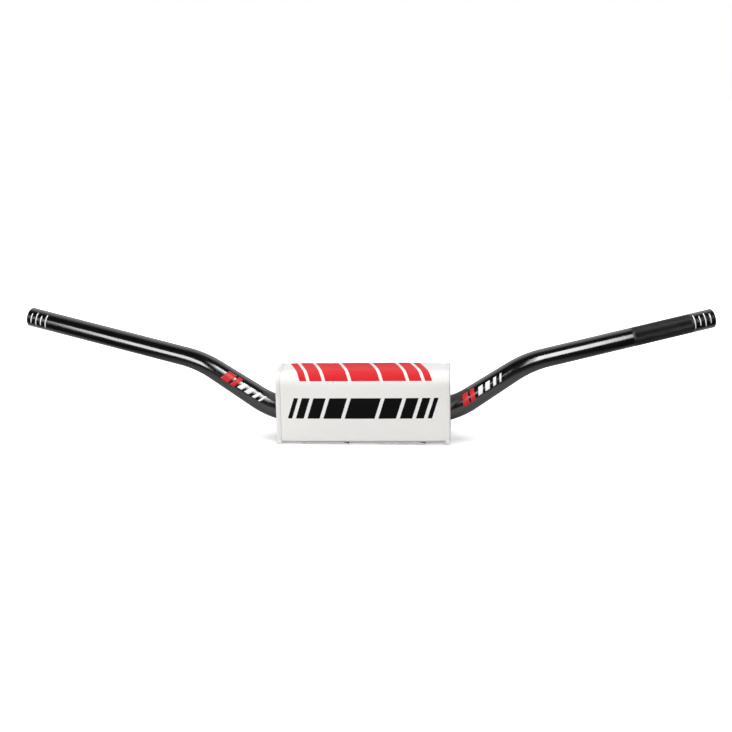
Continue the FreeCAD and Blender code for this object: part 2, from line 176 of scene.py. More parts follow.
@dataclass(frozen=True)
class Stuffing:
    """How the foam presses a sewn sheet outward, as a short cloth simulation."""

    rise: float = 1.5 * MM
    pressure: float = 7.0
    frames: int = 20
    quality: int = 6
    mass: float = 0.35
    stretching: float = 30.0
    shearing: float = 15.0
    bending: float = 4.0

    def press(self, piece: bpy.types.Object, is_sewn: Callable[[float, float], bool]) -> None:
        """Presses a sheet outward between its seams, up to the rise at its highest.

        Args:
            piece: The sheet, whose UV map holds its flat measures.
            is_sewn: Tells from the flat measures whether a point is held.
        """
        sewn = piece.vertex_groups.new(name="sewn")
        flat = {loop.vertex_index: tuple(place.uv)
                for loop, place in zip(piece.data.loops, piece.data.uv_layers.active.data)}
        sewn.add([index for index, place in flat.items() if is_sewn(*place)], 1.0, "REPLACE")
        cloth = self.add_cloth(piece, sewn.name)
        for frame_number in range(1, self.frames + 1):
            bpy.context.scene.frame_set(frame_number)
        pressed = piece.evaluated_get(bpy.context.evaluated_depsgraph_get()).data
        shifts = [after.co - before.co for before, after in zip(piece.data.vertices, pressed.vertices)]
        piece.modifiers.remove(cloth)
        piece.vertex_groups.remove(sewn)
        highest = max(shift.length for shift in shifts)
        share = min(1.0, self.rise / highest) if highest else 0.0
        for vert, shift in zip(piece.data.vertices, shifts):
            vert.co += shift * share
        bpy.context.scene.frame_set(1)
        log.info("%s: pressed out %.2f mm, kept %.2f mm", piece.name, highest / MM, highest * share / MM)

    def add_cloth(self, piece: bpy.types.Object, held: str) -> bpy.types.Modifier:
        """Adds the simulation, which holds the points of one vertex group and has no gravity."""
        cloth = piece.modifiers.new("stuffing", "CLOTH")
        cloth.settings.quality = self.quality
        cloth.settings.mass = self.mass
        cloth.settings.tension_stiffness = self.stretching
        cloth.settings.compression_stiffness = self.stretching
        cloth.settings.shear_stiffness = self.shearing
        cloth.settings.bending_stiffness = self.bending
        cloth.settings.use_pressure = True
        cloth.settings.uniform_pressure_force = self.pressure
        cloth.settings.effector_weights.gravity = 0.0
        cloth.settings.vertex_group_mass = held
        cloth.collision_settings.use_collision = False
        return cloth


@dataclass(frozen=True)
class Stretch:
    """A stretch of a path: a straight run, or an arc where it turns."""

    length: float
    turn: float = 0.0
    towards: Vector = field(default_factory=lambda: UPWARD.copy())

    def step(self, distance: float) -> Matrix:
        """The place at a distance along this stretch, from its own start."""
        if not self.turn:
            return Matrix.Translation(AXIAL * distance)
        turned = self.turn * distance / self.length
        radius = self.length / self.turn
        moved = AXIAL * (radius * math.sin(turned)) + self.towards * (radius * (1 - math.cos(turned)))
        return Matrix.Translation(moved) @ Matrix.Rotation(turned, 4, AXIAL.cross(self.towards))


@dataclass(frozen=True)
class Path3D:
    """A path of straight runs and arcs; its own X runs along it."""

    start: Matrix
    stretches: tuple[Stretch, ...]

    @property
    def length(self) -> float:
        """The whole path's length."""
        return sum(stretch.length for stretch in self.stretches)

    def at(self, distance: float) -> Matrix:
        """The place at a distance along the path."""
        place = self.start.copy()
        for stretch in self.stretches:
            step = min(distance, stretch.length)
            place = place @ stretch.step(step)
            distance -= step
            if distance <= 0:
                break
        return place

    def stations(self, pitch: float, start: float = 0.0, end: float | None = None) -> Iterator[float]:
        """Distances along the path: dense in its arcs and only at the ends of its runs.

        Args:
            pitch: The longest step in an arc.
            start: The first distance.
            end: The last distance, or the path's end.

        Yields:
            Each distance once, in order.
        """
        end = self.length if end is None else end
        yield start
        begun = 0.0
        for stretch in self.stretches:
            count = max(1, math.ceil(stretch.length / pitch)) if stretch.turn else 1
            for step in range(1, count + 1):
                distance = begun + stretch.length * step / count
                if start + MM / 100 < distance < end - MM / 100:
                    yield distance
            begun += stretch.length
        yield end


# Finishes

class Nodes:
    """A node tree, with short ways to add and join its nodes."""

    def __init__(self, tree: bpy.types.NodeTree) -> None:
        """Takes the tree of a material or of a world."""
        self.nodes = tree.nodes
        self.links = tree.links

    def add(self, kind: str, **settings: object) -> bpy.types.Node:
        """Adds a shader node of that kind, with its settings."""
        node = self.nodes.new(f"ShaderNode{kind}")
        for key, value in settings.items():
            setattr(node, key, value)
        return node

    def feed(self, target: bpy.types.NodeSocket, value: object) -> None:
        """Joins a socket to another, or gives it a plain value."""
        if isinstance(value, bpy.types.NodeSocket):
            self.links.new(value, target)
        else:
            target.default_value = value

    def math(self, operation: str, *values: object) -> bpy.types.NodeSocket:
        """A sum of one to three values."""
        node = self.add("Math", operation=operation)
        for socket, value in zip(node.inputs, values):
            self.feed(socket, value)
        return node.outputs[0]

    def ramp(self, value: bpy.types.NodeSocket, low: float, high: float, start: float = 0.0,
             end: float = 1.0) -> bpy.types.NodeSocket:
        """Maps a value from one range to another, without leaving the second."""
        node = self.add("MapRange")
        for name, number in (("From Min", low), ("From Max", high), ("To Min", start), ("To Max", end)):
            node.inputs[name].default_value = number
        self.feed(node.inputs["Value"], value)
        return node.outputs["Result"]


class Graph(Nodes):
    """A material's node tree, with its Principled shader and its patterns."""

    def __init__(self, name: str) -> None:
        """Starts the material."""
        self.material = bpy.data.materials.new(name)
        self.material.use_nodes = True
        super().__init__(self.material.node_tree)
        self.shader = self.nodes["Principled BSDF"]

    def place(self, attribute: str | None = None,
              scale: Sequence[float] = (1, 1, 1)) -> bpy.types.NodeSocket:
        """The pattern's coordinates.

        Args:
            attribute: "UV" for the piece's UV map, an attribute's name, or nothing for Object coordinates.
            scale: The scale along each axis.

        Returns:
            The socket that holds them.
        """
        if attribute == "UV":
            source = self.add("UVMap").outputs["UV"]
        elif attribute:
            source = self.add("Attribute", attribute_name=attribute).outputs["Vector"]
        else:
            source = self.add("TexCoord").outputs["Object"]
        mapping = self.add("Mapping")
        self.feed(mapping.inputs["Vector"], source)
        mapping.inputs["Scale"].default_value = scale
        return mapping.outputs["Vector"]

    def grain(self, place: bpy.types.NodeSocket, scale: float, detail: float = 2.0) -> bpy.types.NodeSocket:
        """Soft noise from 0 to 1 at so many waves per metre."""
        node = self.add("TexNoise")
        self.feed(node.inputs["Vector"], place)
        node.inputs["Scale"].default_value = scale
        node.inputs["Detail"].default_value = detail
        return node.outputs["Fac"]

    def cells(self, place: bpy.types.NodeSocket, scale: float) -> bpy.types.NodeSocket:
        """The distance from the middles in a field of cells, so many per metre."""
        node = self.add("TexVoronoi")
        self.feed(node.inputs["Vector"], place)
        node.inputs["Scale"].default_value = scale
        return node.outputs["Distance"]

    def blend(self, share: object, first: object, second: object) -> bpy.types.NodeSocket:
        """A colour between two colours."""
        node = self.add("Mix", data_type="RGBA")
        self.feed(node.inputs[0], share)
        self.feed(node.inputs[6], first)
        self.feed(node.inputs[7], second)
        return node.outputs[2]

    def bump(self, height: bpy.types.NodeSocket, depth: float) -> bpy.types.NodeSocket:
        """A bump of a depth in metres."""
        node = self.add("Bump")
        node.inputs["Distance"].default_value = depth
        self.feed(node.inputs["Height"], height)
        return node.outputs["Normal"]

    def dress(self, **sockets: object) -> bpy.types.Material:
        """Sets the shader's sockets, whose names have underscores for spaces.

        Returns:
            The finished material.
        """
        for name, value in sockets.items():
            self.feed(self.shader.inputs[name.replace("_", " ")], value)
        return self.material


def paint(red: float, green: float, blue: float) -> tuple[float, float, float, float]:
    """A colour as the shader's sockets take it."""
    return (red, green, blue, 1.0)


@dataclass(frozen=True)
class AnodisedFinish:
    """Black anodised aluminium: glossy, with faint drawn lines along the tube."""

    name: str = "black_anodised"
    tone: float = 0.0018
    gloss: float = 0.16
    index: float = 2.3

    def material(self) -> bpy.types.Material:
        """The material, which reads the unbent bar's coordinates."""
        graph = Graph(self.name)
        lines = graph.grain(graph.place("unbent", (14, 1, 1)), 2600.0, 3.0)
        clouds = graph.grain(graph.place("unbent"), 60.0, 4.0)
        tone = graph.blend(graph.ramp(clouds, 0.35, 0.65), paint(self.tone, self.tone, self.tone * 1.08),
                           paint(self.tone * 1.35, self.tone * 1.33, self.tone * 1.42))
        rough = graph.math("ADD", graph.ramp(lines, 0.3, 0.7, self.gloss - 0.03, self.gloss + 0.03),
                           graph.ramp(clouds, 0.3, 0.7, -0.02, 0.03))
        normal = graph.bump(lines, 0.0000016)
        return graph.dress(Base_Color=tone, Roughness=rough, IOR=self.index, Normal=normal)


@dataclass(frozen=True)
class KnurlFinish:
    """The rolled knurl: the same anodising, matter, with its peaks worn a little paler, which also paints
    the diamonds' glints.
    """

    name: str = "knurled_anodised"
    tone: float = 0.0035
    # The pale tone of the worn peaks, which also paints the knurl's glints.
    wear_and_glint_tone: float = 0.11

    def material(self) -> bpy.types.Material:
        """The material, which reads how high each point stands on its diamond."""
        graph = Graph(self.name)
        height = graph.add("Attribute", attribute_name="peak").outputs["Fac"]
        wear = graph.grain(graph.place(), 90.0, 3.0)
        # Paler peaks where worn: real wear together with a painted glint of light on the diamonds.
        share = graph.math("MULTIPLY", graph.ramp(height, 0.75, 1.0), graph.ramp(wear, 0.4, 0.7))
        tone = graph.blend(share, paint(self.tone, self.tone, self.tone * 1.05),
                           paint(self.wear_and_glint_tone, self.wear_and_glint_tone, self.wear_and_glint_tone * 1.05))
        normal = graph.bump(graph.grain(graph.place(), 4200.0, 2.0), 0.00001)
        return graph.dress(Base_Color=tone, Roughness=graph.ramp(wear, 0.3, 0.7, 0.27, 0.38),
                           IOR=1.85, Normal=normal)


@dataclass(frozen=True)
class InkFinish:
    """A mark or a print on the tube: flat ink with a little wear."""

    name: str
    colour: tuple[float, float, float]
    rough: float = 0.38

    def material(self) -> bpy.types.Material:
        """The material."""
        graph = Graph(self.name)
        worn = graph.ramp(graph.grain(graph.place(), 1500.0, 3.0), 0.3, 0.75)
        faded = tuple(channel * 0.86 for channel in self.colour)
        tone = graph.blend(worn, paint(*self.colour), paint(*faded))
        normal = graph.bump(graph.grain(graph.place(), 5200.0, 1.0), 0.000006)
        rough = graph.ramp(worn, 0.0, 1.0, self.rough, self.rough + 0.1)
        return graph.dress(Base_Color=tone, Roughness=rough, Normal=normal)


@dataclass(frozen=True)
class Bars:
    """A printed row of slanted bars on the cover, in the cover's flat measures."""

    centre: float
    low: float
    high: float
    lean: float
    widths: tuple[float, ...]
    gap: float
    ink: tuple[float, float, float]

    def mask(self, graph: Graph, across: bpy.types.NodeSocket,
             along: bpy.types.NodeSocket) -> bpy.types.NodeSocket:
        """1 inside the bars and 0 beside them.

        Args:
            graph: The material's graph.
            across: The flat coordinate across the pad, in metres.
            along: The flat coordinate round the pad, in metres.

        Returns:
            The mask's socket.
        """
        middle = (self.low + self.high) / 2
        leaning = graph.math("MULTIPLY_ADD", graph.math("SUBTRACT", along, middle), -self.lean, across)
        place = self.centre - (sum(self.widths) + self.gap * (len(self.widths) - 1)) / 2
        total: bpy.types.NodeSocket | None = None
        for width in self.widths:
            inside = graph.math("COMPARE", leaning, place + width / 2, width / 2)
            total = inside if total is None else graph.math("MAXIMUM", total, inside)
            place += width + self.gap
        band = graph.math("COMPARE", along, middle, (self.high - self.low) / 2)
        return graph.math("MULTIPLY", total, band)


FRONT_PRINT = Bars(centre=97.0 * MM, low=39.5 * MM, high=63.5 * MM, lean=0.32,
                   widths=tuple(width * MM for width in (5, 9, 14, 20, 34, 20, 14, 9, 5)), gap=4.2 * MM,
                   ink=(0.0022, 0.0022, 0.0025))
TOP_PRINT = Bars(centre=91.0 * MM, low=83.0 * MM, high=148.0 * MM, lean=-0.3,
                 widths=tuple(width * MM for width in (8, 14, 26, 32, 26, 14, 8)), gap=3.6 * MM,
                 ink=(0.61, 0.02, 0.027))


@dataclass(frozen=True)
class VinylFinish:
    """Smooth white vinyl on a knitted backing, satin, with any printed bars."""

    name: str
    tone: tuple[float, float, float] = (0.775, 0.765, 0.75)
    rough: float = 0.33
    shine: float = 0.35
    prints: tuple[Bars, ...] = ()

    def material(self) -> bpy.types.Material:
        """The material, which reads the sheet's flat measures."""
        graph = Graph(self.name)
        flat = graph.place("UV")
        patches = graph.grain(flat, 22.0, 3.0)
        grain = graph.cells(flat, 1900.0)
        knit = graph.grain(graph.place("UV", (1.0, 0.6, 1.0)), 1100.0, 1.0)
        warm = tuple(channel * factor for channel, factor in zip(self.tone, (1.012, 0.995, 0.968)))
        tone = graph.blend(graph.ramp(patches, 0.35, 0.68), paint(*self.tone), paint(*warm))
        tone = graph.blend(graph.ramp(grain, 0.0, 0.5, 0.035, 0.0), tone, paint(0.6, 0.59, 0.57))
        rough: object = graph.ramp(patches, 0.3, 0.7, self.rough - 0.03, self.rough + 0.05)
        shine: object = self.shine
        relief = graph.math("MULTIPLY_ADD", knit, 0.7, graph.ramp(grain, 0.0, 0.6))
        if self.prints:
            split = graph.add("SeparateXYZ")
            graph.feed(split.inputs[0], flat)
            for bars in self.prints:
                mask = bars.mask(graph, split.outputs["X"], split.outputs["Y"])
                tone = graph.blend(mask, tone, paint(*bars.ink))
                rough = graph.math("MULTIPLY_ADD", mask, 0.05, rough)
                shine = graph.math("MULTIPLY_ADD", mask, -0.7 * self.shine, shine)
                relief = graph.math("MULTIPLY_ADD", mask, 1.4, relief)
        normal = graph.bump(relief, 0.000022)
        return graph.dress(Base_Color=tone, Roughness=rough, Specular_IOR_Level=shine, Normal=normal)


@dataclass(frozen=True)
class KnitFinish:
    """The dark knitted backing of the vinyl, or the pile of a loop tape."""

    name: str
    tone: tuple[float, float, float] = (0.045, 0.045, 0.05)
    pitch: float = 0.0011

    def material(self) -> bpy.types.Material:
        """The material, which reads the sheet's flat measures."""
        graph = Graph(self.name)
        wales = graph.add("TexWave", wave_type="BANDS", bands_direction="X")
        graph.feed(wales.inputs["Vector"], graph.place("UV"))
        wales.inputs["Scale"].default_value = 0.314 / self.pitch
        wales.inputs["Distortion"].default_value = 3.0
        wales.inputs["Detail"].default_value = 2.0
        wales.inputs["Detail Scale"].default_value = 3.0
        fuzz = graph.grain(graph.place("UV"), 5200.0, 3.0)
        height = graph.math("MULTIPLY_ADD", fuzz, 0.8, wales.outputs["Fac"])
        pale = tuple(channel * 2.1 for channel in self.tone)
        tone = graph.blend(graph.ramp(height, 0.3, 1.5), paint(*self.tone), paint(*pale))
        return graph.dress(Base_Color=tone, Roughness=0.95, Sheen_Weight=0.35, Sheen_Roughness=0.5,
                           Normal=graph.bump(height, 0.00012))


@dataclass(frozen=True)
class HookFinish:
    """The nylon ground of a hook tape, with the rows of its hooks."""

    name: str = "hook_nylon"

    def material(self) -> bpy.types.Material:
        """The material."""
        graph = Graph(self.name)
        hooks = graph.cells(graph.place(), 900.0)
        tone = graph.blend(graph.ramp(hooks, 0.1, 0.6), paint(0.07, 0.07, 0.073),
                           paint(0.018, 0.018, 0.019))
        return graph.dress(Base_Color=tone, Roughness=0.55, Normal=graph.bump(hooks, 0.0003))


@dataclass(frozen=True)
class FoamFinish:
    """Open celled foam: dark grey, dull, pitted."""

    name: str = "open_cell_foam"

    def material(self) -> bpy.types.Material:
        """The material."""
        graph = Graph(self.name)
        place = graph.place()
        pits = graph.cells(place, 1150.0)
        clouds = graph.grain(place, 85.0, 4.0)
        tone = graph.blend(graph.ramp(pits, 0.15, 0.55), paint(0.05, 0.05, 0.053),
                           paint(0.17, 0.17, 0.175))
        tone = graph.blend(graph.ramp(clouds, 0.3, 0.75, 0.0, 0.5), tone, paint(0.12, 0.118, 0.115))
        return graph.dress(Base_Color=tone, Roughness=0.95, Specular_IOR_Level=0.25,
                           Normal=graph.bump(pits, 0.0005))


@dataclass(frozen=True)
class ThreadFinish:
    """Twisted polyester sewing thread."""

    name: str
    tone: tuple[float, float, float] = (0.8, 0.79, 0.77)

    def material(self) -> bpy.types.Material:
        """The material."""
        graph = Graph(self.name)
        twist = graph.grain(graph.place(None, (1, 1, 3)), 3600.0, 1.0)
        shade = tuple(channel * 0.7 for channel in self.tone)
        tone = graph.blend(graph.ramp(twist, 0.35, 0.65), paint(*shade), paint(*self.tone))
        return graph.dress(Base_Color=tone, Roughness=0.6, Sheen_Weight=0.2,
                           Normal=graph.bump(twist, 0.00008))


# The bar

@dataclass(frozen=True)
class TubePrint:
    """A row of slanted bars printed on both rises.

    Each bar's start and end are in millimetres along the axis from the middle, and the two angles
    between which it runs are in degrees from the top towards the front.
    """

    name: str
    right: tuple[tuple[float, float], ...]
    left: tuple[tuple[float, float], ...]
    low: float
    high: float


RED_BARS = TubePrint("red_bars", right=((153, 159), (161.5, 172)), left=((118, 126), (128.5, 134.5)),
                     low=36.0, high=98.0)
WHITE_BARS = TubePrint("white_bars", right=((119, 121.5), (126, 130), (134.5, 140.5), (144, 150)),
                       left=((139, 145), (148.5, 154.5), (159, 163), (167.5, 170)), low=49.0, high=88.0)


@dataclass
class HandlebarTube:
    """The bent, tapered and butted tube, with its knurl, cut marks and printed bars."""

    clamp_half: float = 73.5 * MM
    bend_radius: float = 88.0 * MM
    rise_angle: float = math.radians(33.8)
    rise: float = 57.0 * MM
    sweep_angle: float = math.radians(26.7)
    sweep_turn: float = math.radians(31.8)
    grip: float = 203.0 * MM
    clamp_radius: float = 14.3 * MM
    middle_radius: float = 12.0 * MM
    grip_radius: float = 11.1 * MM
    clamp_bore: float = 10.1 * MM
    middle_bore: float = 8.2 * MM
    grip_bore: float = 7.6 * MM
    chamfer: float = 0.8 * MM
    segments: int = 96
    bend_pitch: float = 2.0 * MM
    knurl_from_tip: float = 27.5 * MM
    knurl_length: float = 73.0 * MM
    knurl_around: int = 44
    knurl_along: int = 46
    knurl_valley: float = 10.86 * MM
    knurl_peak: float = 11.16 * MM
    knurl_fade: float = 4.0 * MM
    knurl_stop: float = 1.5 * MM
    knurl_bed: float = 0.25 * MM
    knurl_lining: float = 0.2 * MM
    marks: int = 4
    mark_pitch: float = 6.35 * MM
    mark_width: float = 1.5 * MM
    short_mark: float = math.radians(33.0)
    long_mark: float = math.radians(47.0)
    left_mark: float = math.radians(77.0)
    right_mark: float = math.radians(86.0)
    ink: float = 0.035 * MM
    bar_lean: float = 5.0 * MM

    def __post_init__(self) -> None:
        """Lays out the left half's centre line, from the middle to the tip."""
        tilted = REARWARD * math.sin(self.sweep_turn) - UPWARD * math.cos(self.sweep_turn)
        self.axis = Path3D(Matrix.Identity(4), (
            Stretch(self.clamp_half),
            Stretch(self.bend_radius * self.rise_angle, self.rise_angle, UPWARD),
            Stretch(self.rise),
            Stretch(self.bend_radius * self.sweep_angle, self.sweep_angle, tilted),
            Stretch(self.grip),
        ))
        self.rise_end = self.clamp_half + self.bend_radius * self.rise_angle + self.rise
        self.sweep_end = self.axis.length - self.grip

    def tapered(self, distance: float, clamp: float, middle: float, grip: float) -> float:
        """A radius at a distance from the middle, given its three sizes."""
        if distance <= self.clamp_half:
            return clamp
        if distance <= self.rise_end:
            share = (distance - self.clamp_half) / (self.rise_end - self.clamp_half)
            return clamp + (middle - clamp) * share
        share = min(1.0, (distance - self.rise_end) / (self.sweep_end - self.rise_end))
        return middle + (grip - middle) * share

    def outside(self, distance: float) -> float:
        """The tube's outer radius."""
        return self.tapered(distance, self.clamp_radius, self.middle_radius, self.grip_radius)

    def inside(self, distance: float) -> float:
        """The bore's radius."""
        return self.tapered(distance, self.clamp_bore, self.middle_bore, self.grip_bore)

    def ring(self, distance: float, radius: float) -> Matrix:
        """The place and size of a ring across the tube."""
        return self.axis.at(distance) @ Matrix.Rotation(math.pi / 2, 4, "Y") @ Matrix.Scale(radius, 4)

    def skin_point(self, distance: float, angle: float, lift: float, side: Side) -> Vector:
        """A point on the tube's skin.

        Args:
            distance: How far along the axis from the middle.
            angle: The angle from the top towards the front, in radians.
            lift: How far above the skin.
            side: Which half of the bar.

        Returns:
            The point.
        """
        out = UPWARD * math.cos(angle) - REARWARD * math.sin(angle)
        point = self.axis.at(distance) @ (out * (self.outside(distance) + lift))
        return Vector((point.x * side.value, point.y, point.z))

    def make_half(self, recessed: bool) -> bmesh.types.BMesh:
        """One half of the tube's wall, outside, end face and bore.

        Args:
            recessed: Whether the skin steps in below a knurl.

        Returns:
            The open bmesh, cut at the bike's middle plane.
        """
        tip = self.axis.length
        chamfered = tip - self.chamfer
        knurl_end = tip - self.knurl_from_tip
        knurl_start = knurl_end - self.knurl_length
        rows = [(distance, self.outside(distance))
                for distance in self.axis.stations(self.bend_pitch, end=chamfered)]
        if recessed:
            bed = self.knurl_valley - self.knurl_bed
            grip = [(knurl_start, self.grip_radius), (knurl_start, bed), (knurl_end, bed),
                    (knurl_end, self.grip_radius)]
            rows = rows[:-1] + grip + rows[-1:]
        rows += [(tip, self.grip_radius - self.chamfer), (tip, self.grip_bore + self.chamfer)]
        bore = list(self.axis.stations(2 * self.bend_pitch, end=chamfered))
        rows += [(distance, self.inside(distance)) for distance in reversed(bore)]
        mesh = bmesh.new()
        unbent = mesh.verts.layers.float_vector.new("unbent")
        places = [self.ring(*row) for row in rows]
        made = bmesh.ops.create_circle(mesh, cap_ends=False, segments=self.segments, radius=1.0,
                                       matrix=places[0])
        verts, edges = made["verts"], list(mesh.edges)
        for (distance, _), before, after in zip(rows, [places[0]] + places, places):
            if after is not before:
                verts, edges = draw_ring(mesh, edges, before, after)
            back = self.axis.at(distance).inverted()
            for vert in verts:
                local = back @ vert.co
                vert[unbent] = (distance, local.y, local.z)
        return mesh

    def make_tube(self, finish: bpy.types.Material) -> bpy.types.Object:
        """The whole tube, closed, in place of the CAD one."""
        mesh = self.make_half(recessed=True)
        other = self.make_half(recessed=False)
        bmesh.ops.scale(other, vec=(-1.0, 1.0, 1.0), verts=other.verts)
        half = bpy.data.meshes.new("other_half")
        other.to_mesh(half)
        other.free()
        mesh.from_mesh(half)
        bpy.data.meshes.remove(half)
        bmesh.ops.remove_doubles(mesh, verts=mesh.verts, dist=MM / 1000)
        bmesh.ops.recalc_face_normals(mesh, faces=mesh.faces)
        piece = finish_piece(mesh, "bent_tube", [finish], 30.0)
        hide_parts("handlebar_tube")
        return piece

    def knurl_radius(self, along: float, deep: float) -> float:
        """The radius of the knurl's valleys or peaks, which run out into the skin at both ends."""
        skin = self.grip_radius - self.ink
        share = min(1.0, along / self.knurl_fade, (self.knurl_length - along) / self.knurl_stop)
        return skin + (deep - skin) * max(0.0, share)

    def make_knurl(self, finish: bpy.types.Material) -> bpy.types.Object:
        """The sleeve of rolled diamonds near the left tip."""
        mesh = bmesh.new()
        peak = mesh.verts.layers.float.new("peak")
        step = self.knurl_length / self.knurl_along
        start = self.axis.length - self.knurl_from_tip - self.knurl_length
        places = [self.ring(start + step * row, self.knurl_valley) for row in range(self.knurl_along + 1)]
        bmesh.ops.create_circle(mesh, cap_ends=False, segments=self.knurl_around, radius=1.0,
                                matrix=places[0])
        edges = list(mesh.edges)
        for before, after in zip(places, places[1:]):
            _, edges = draw_ring(mesh, edges, before, after)
        straight = list(mesh.edges)
        bmesh.ops.poke(mesh, faces=mesh.faces)
        inner = [edge for edge in straight if edge.is_valid and not edge.is_boundary]
        bmesh.ops.dissolve_edges(mesh, edges=inner, use_verts=False)
        valleys = set(mesh.verts)
        diamonds = [face for face in mesh.faces if len(face.verts) == 4]
        peaks = bmesh.ops.poke(mesh, faces=diamonds)["verts"]
        here = self.axis.at(start)
        back = here.inverted()

        def stand(vert: bmesh.types.BMVert, radius_at: Callable[[float], float]) -> None:
            """Stands a point at the radius that belongs to its distance along the sleeve."""
            local = back @ vert.co
            out = Vector((0.0, local.y, local.z)).normalized() * radius_at(local.x)
            vert.co = here @ Vector((local.x, out.y, out.z))

        for group, deep, height in ((valleys, self.knurl_valley, 0.0), (peaks, self.knurl_peak, 1.0)):
            for vert in group:
                stand(vert, lambda along: self.knurl_radius(along, deep))
                vert[peak] = height
        rims = [edge for edge in mesh.edges if edge.is_boundary]
        for item in bmesh.ops.extrude_edge_only(mesh, edges=rims)["geom"]:
            if isinstance(item, bmesh.types.BMVert):
                stand(item, lambda _: self.knurl_valley - self.knurl_lining)
        bmesh.ops.bridge_loops(mesh, edges=[edge for edge in mesh.edges if edge.is_boundary])
        bmesh.ops.recalc_face_normals(mesh, faces=mesh.faces)
        piece = finish_piece(mesh, "knurl_left", [finish], 12.0)
        return piece

    def add_mark(self, mesh: bmesh.types.BMesh, side: Side, number: int) -> None:
        """Adds one cut mark, counted from the tip: short, long, short, long."""
        half_arc = self.short_mark if number % 2 else self.long_mark
        middle = self.left_mark if side is Side.LEFT else self.right_mark
        distance = self.axis.length - number * self.mark_pitch

        def place(across: float, along: float) -> Vector:
            """A point of the mark, which narrows at its ends."""
            share = 2 * along - 1
            width = self.mark_width * math.sqrt(max(0.0, 1 - share ** 6))
            return self.skin_point(distance + (across - 0.5) * width, middle + share * half_arc, self.ink,
                                   side)

        add_grid(mesh, 2, 32, (self.mark_width, 2 * half_arc * self.grip_radius), place, -REARWARD)

    def make_marks(self, finish: bpy.types.Material) -> bpy.types.Object:
        """The white cut marks at both tips."""
        mesh = bmesh.new()
        for side in Side:
            for number in range(1, self.marks + 1):
                self.add_mark(mesh, side, number)
        bmesh.ops.remove_doubles(mesh, verts=mesh.verts, dist=MM / 200)
        return self.finish_ink(mesh, "cut_marks", finish)

    def add_bar(self, mesh: bmesh.types.BMesh, printed: TubePrint, side: Side,
                run: tuple[float, float]) -> None:
        """Adds one slanted bar, between two distances along the axis in millimetres."""
        start, end = run[0] * MM, run[1] * MM
        lean = side.value * self.bar_lean

        def place(across: float, along: float) -> Vector:
            """A point of the bar, on the tube's skin."""
            angle = math.radians(printed.high + (printed.low - printed.high) * along)
            distance = start + (end - start) * across + lean * (along - 0.5)
            return self.skin_point(distance, angle, self.ink, side)

        height = math.radians(printed.high - printed.low) * self.middle_radius
        cells = max(2, round((end - start) / (1.5 * MM)))
        add_grid(mesh, cells, 16, (end - start, height), place, -REARWARD)

    def make_print(self, printed: TubePrint, finish: bpy.types.Material) -> bpy.types.Object:
        """A row of slanted printed bars on both rises."""
        mesh = bmesh.new()
        for side, runs in ((Side.RIGHT, printed.right), (Side.LEFT, printed.left)):
            for run in runs:
                self.add_bar(mesh, printed, side, run)
        return self.finish_ink(mesh, printed.name, finish)

    def finish_ink(self, mesh: bmesh.types.BMesh, name: str,
                   finish: bpy.types.Material) -> bpy.types.Object:
        """Turns a sheet on the tube's skin into a layer of ink that sinks a little into it."""
        piece = finish_piece(mesh, name, [finish])
        thicken(piece, self.ink * 1.6)
        return piece


# The pad

@dataclass(frozen=True)
class PadForm:
    """The soft form that all of the pad's pieces share."""

    half_width: float = 98.0 * MM
    half_depth: float = 31.3 * MM
    top: float = 51.8 * MM
    low: float = -29.4 * MM
    corner: float = 14.0 * MM
    foot: float = 2.5 * MM
    hem: float = 12.0 * MM
    vinyl: float = 1.2 * MM
    tilt: float = math.radians(0.5)
    shift: float = 0.9 * MM
    pinch: float = 1.1 * MM
    pinch_reach: float = 11.0 * MM
    crown: float = 0.2 * MM
    groove: float = 0.3 * MM
    groove_height: float = 3.0 * MM
    groove_spread: float = 0.9 * MM
    ripple: float = 0.35 * MM
    fine_ripple: float = 0.12 * MM
    ripple_fade: float = 12.0 * MM

    def outline(self) -> Path3D:
        """The cover's outline across the bar, from the front hem's edge over the top to the rear hem's.

        Returns:
            A path whose own Y is across the bar and whose Z looks outward.
        """
        turn = math.pi / 2
        straight = self.hem - self.foot
        # the path starts towards the front and turns up, back and down again
        start = (Matrix.Translation((0.0, -(self.half_depth - self.hem), self.low))
                 @ axes(-REARWARD, -AXIAL, -UPWARD))
        front = self.top - self.corner - self.low - self.foot
        across = 2 * (self.half_depth - self.corner)
        return Path3D(start, (
            Stretch(straight), Stretch(self.foot * turn, turn, -UPWARD), Stretch(front),
            Stretch(self.corner * turn, turn, -UPWARD), Stretch(across),
            Stretch(self.corner * turn, turn, -UPWARD), Stretch(front),
            Stretch(self.foot * turn, turn, -UPWARD), Stretch(straight)))

    def settle(self, point: Vector) -> Vector:
        """Where a point of the pad lies once the pad is pushed over the bar, a little turned."""
        turned = Matrix.Rotation(-self.tilt, 4, "Y") @ point
        return turned + AXIAL * self.shift

    def swell(self, point: Vector) -> float:
        """How far the stuffed cover stands out of its plain form at a point, in metres."""
        end = self.half_width - abs(point.x)
        pinch = -self.pinch * math.exp(-max(0.0, end) / self.pinch_reach)
        across = 1 - (point.x / self.half_width) ** 2
        share = (point.z - self.low) / (self.top - self.low)
        face = math.sin(math.pi * min(1.0, max(0.0, share)))
        on_top = max(0.0, 1 - (point.y / self.half_depth) ** 2) if share > 0.9 else 0.0
        crown = self.crown * across * max(face, on_top)
        height = point.z - self.low - self.groove_height
        fade = min(1.0, max(0.0, height / self.ripple_fade))
        ripple = fade * (self.ripple * noise.noise(point * 26.0)
                         + self.fine_ripple * noise.noise(point * 95.0 + UPWARD * 3))
        groove = -self.groove * math.exp(-(height / self.groove_spread) ** 2)
        return pinch + crown + ripple + groove


@dataclass(frozen=True)
class Tape:
    """A hook or loop tape, by the start of its piece's name and its slot, which its node shares."""

    piece: str
    slot: str
    height: float
    lift: float
    pile: float


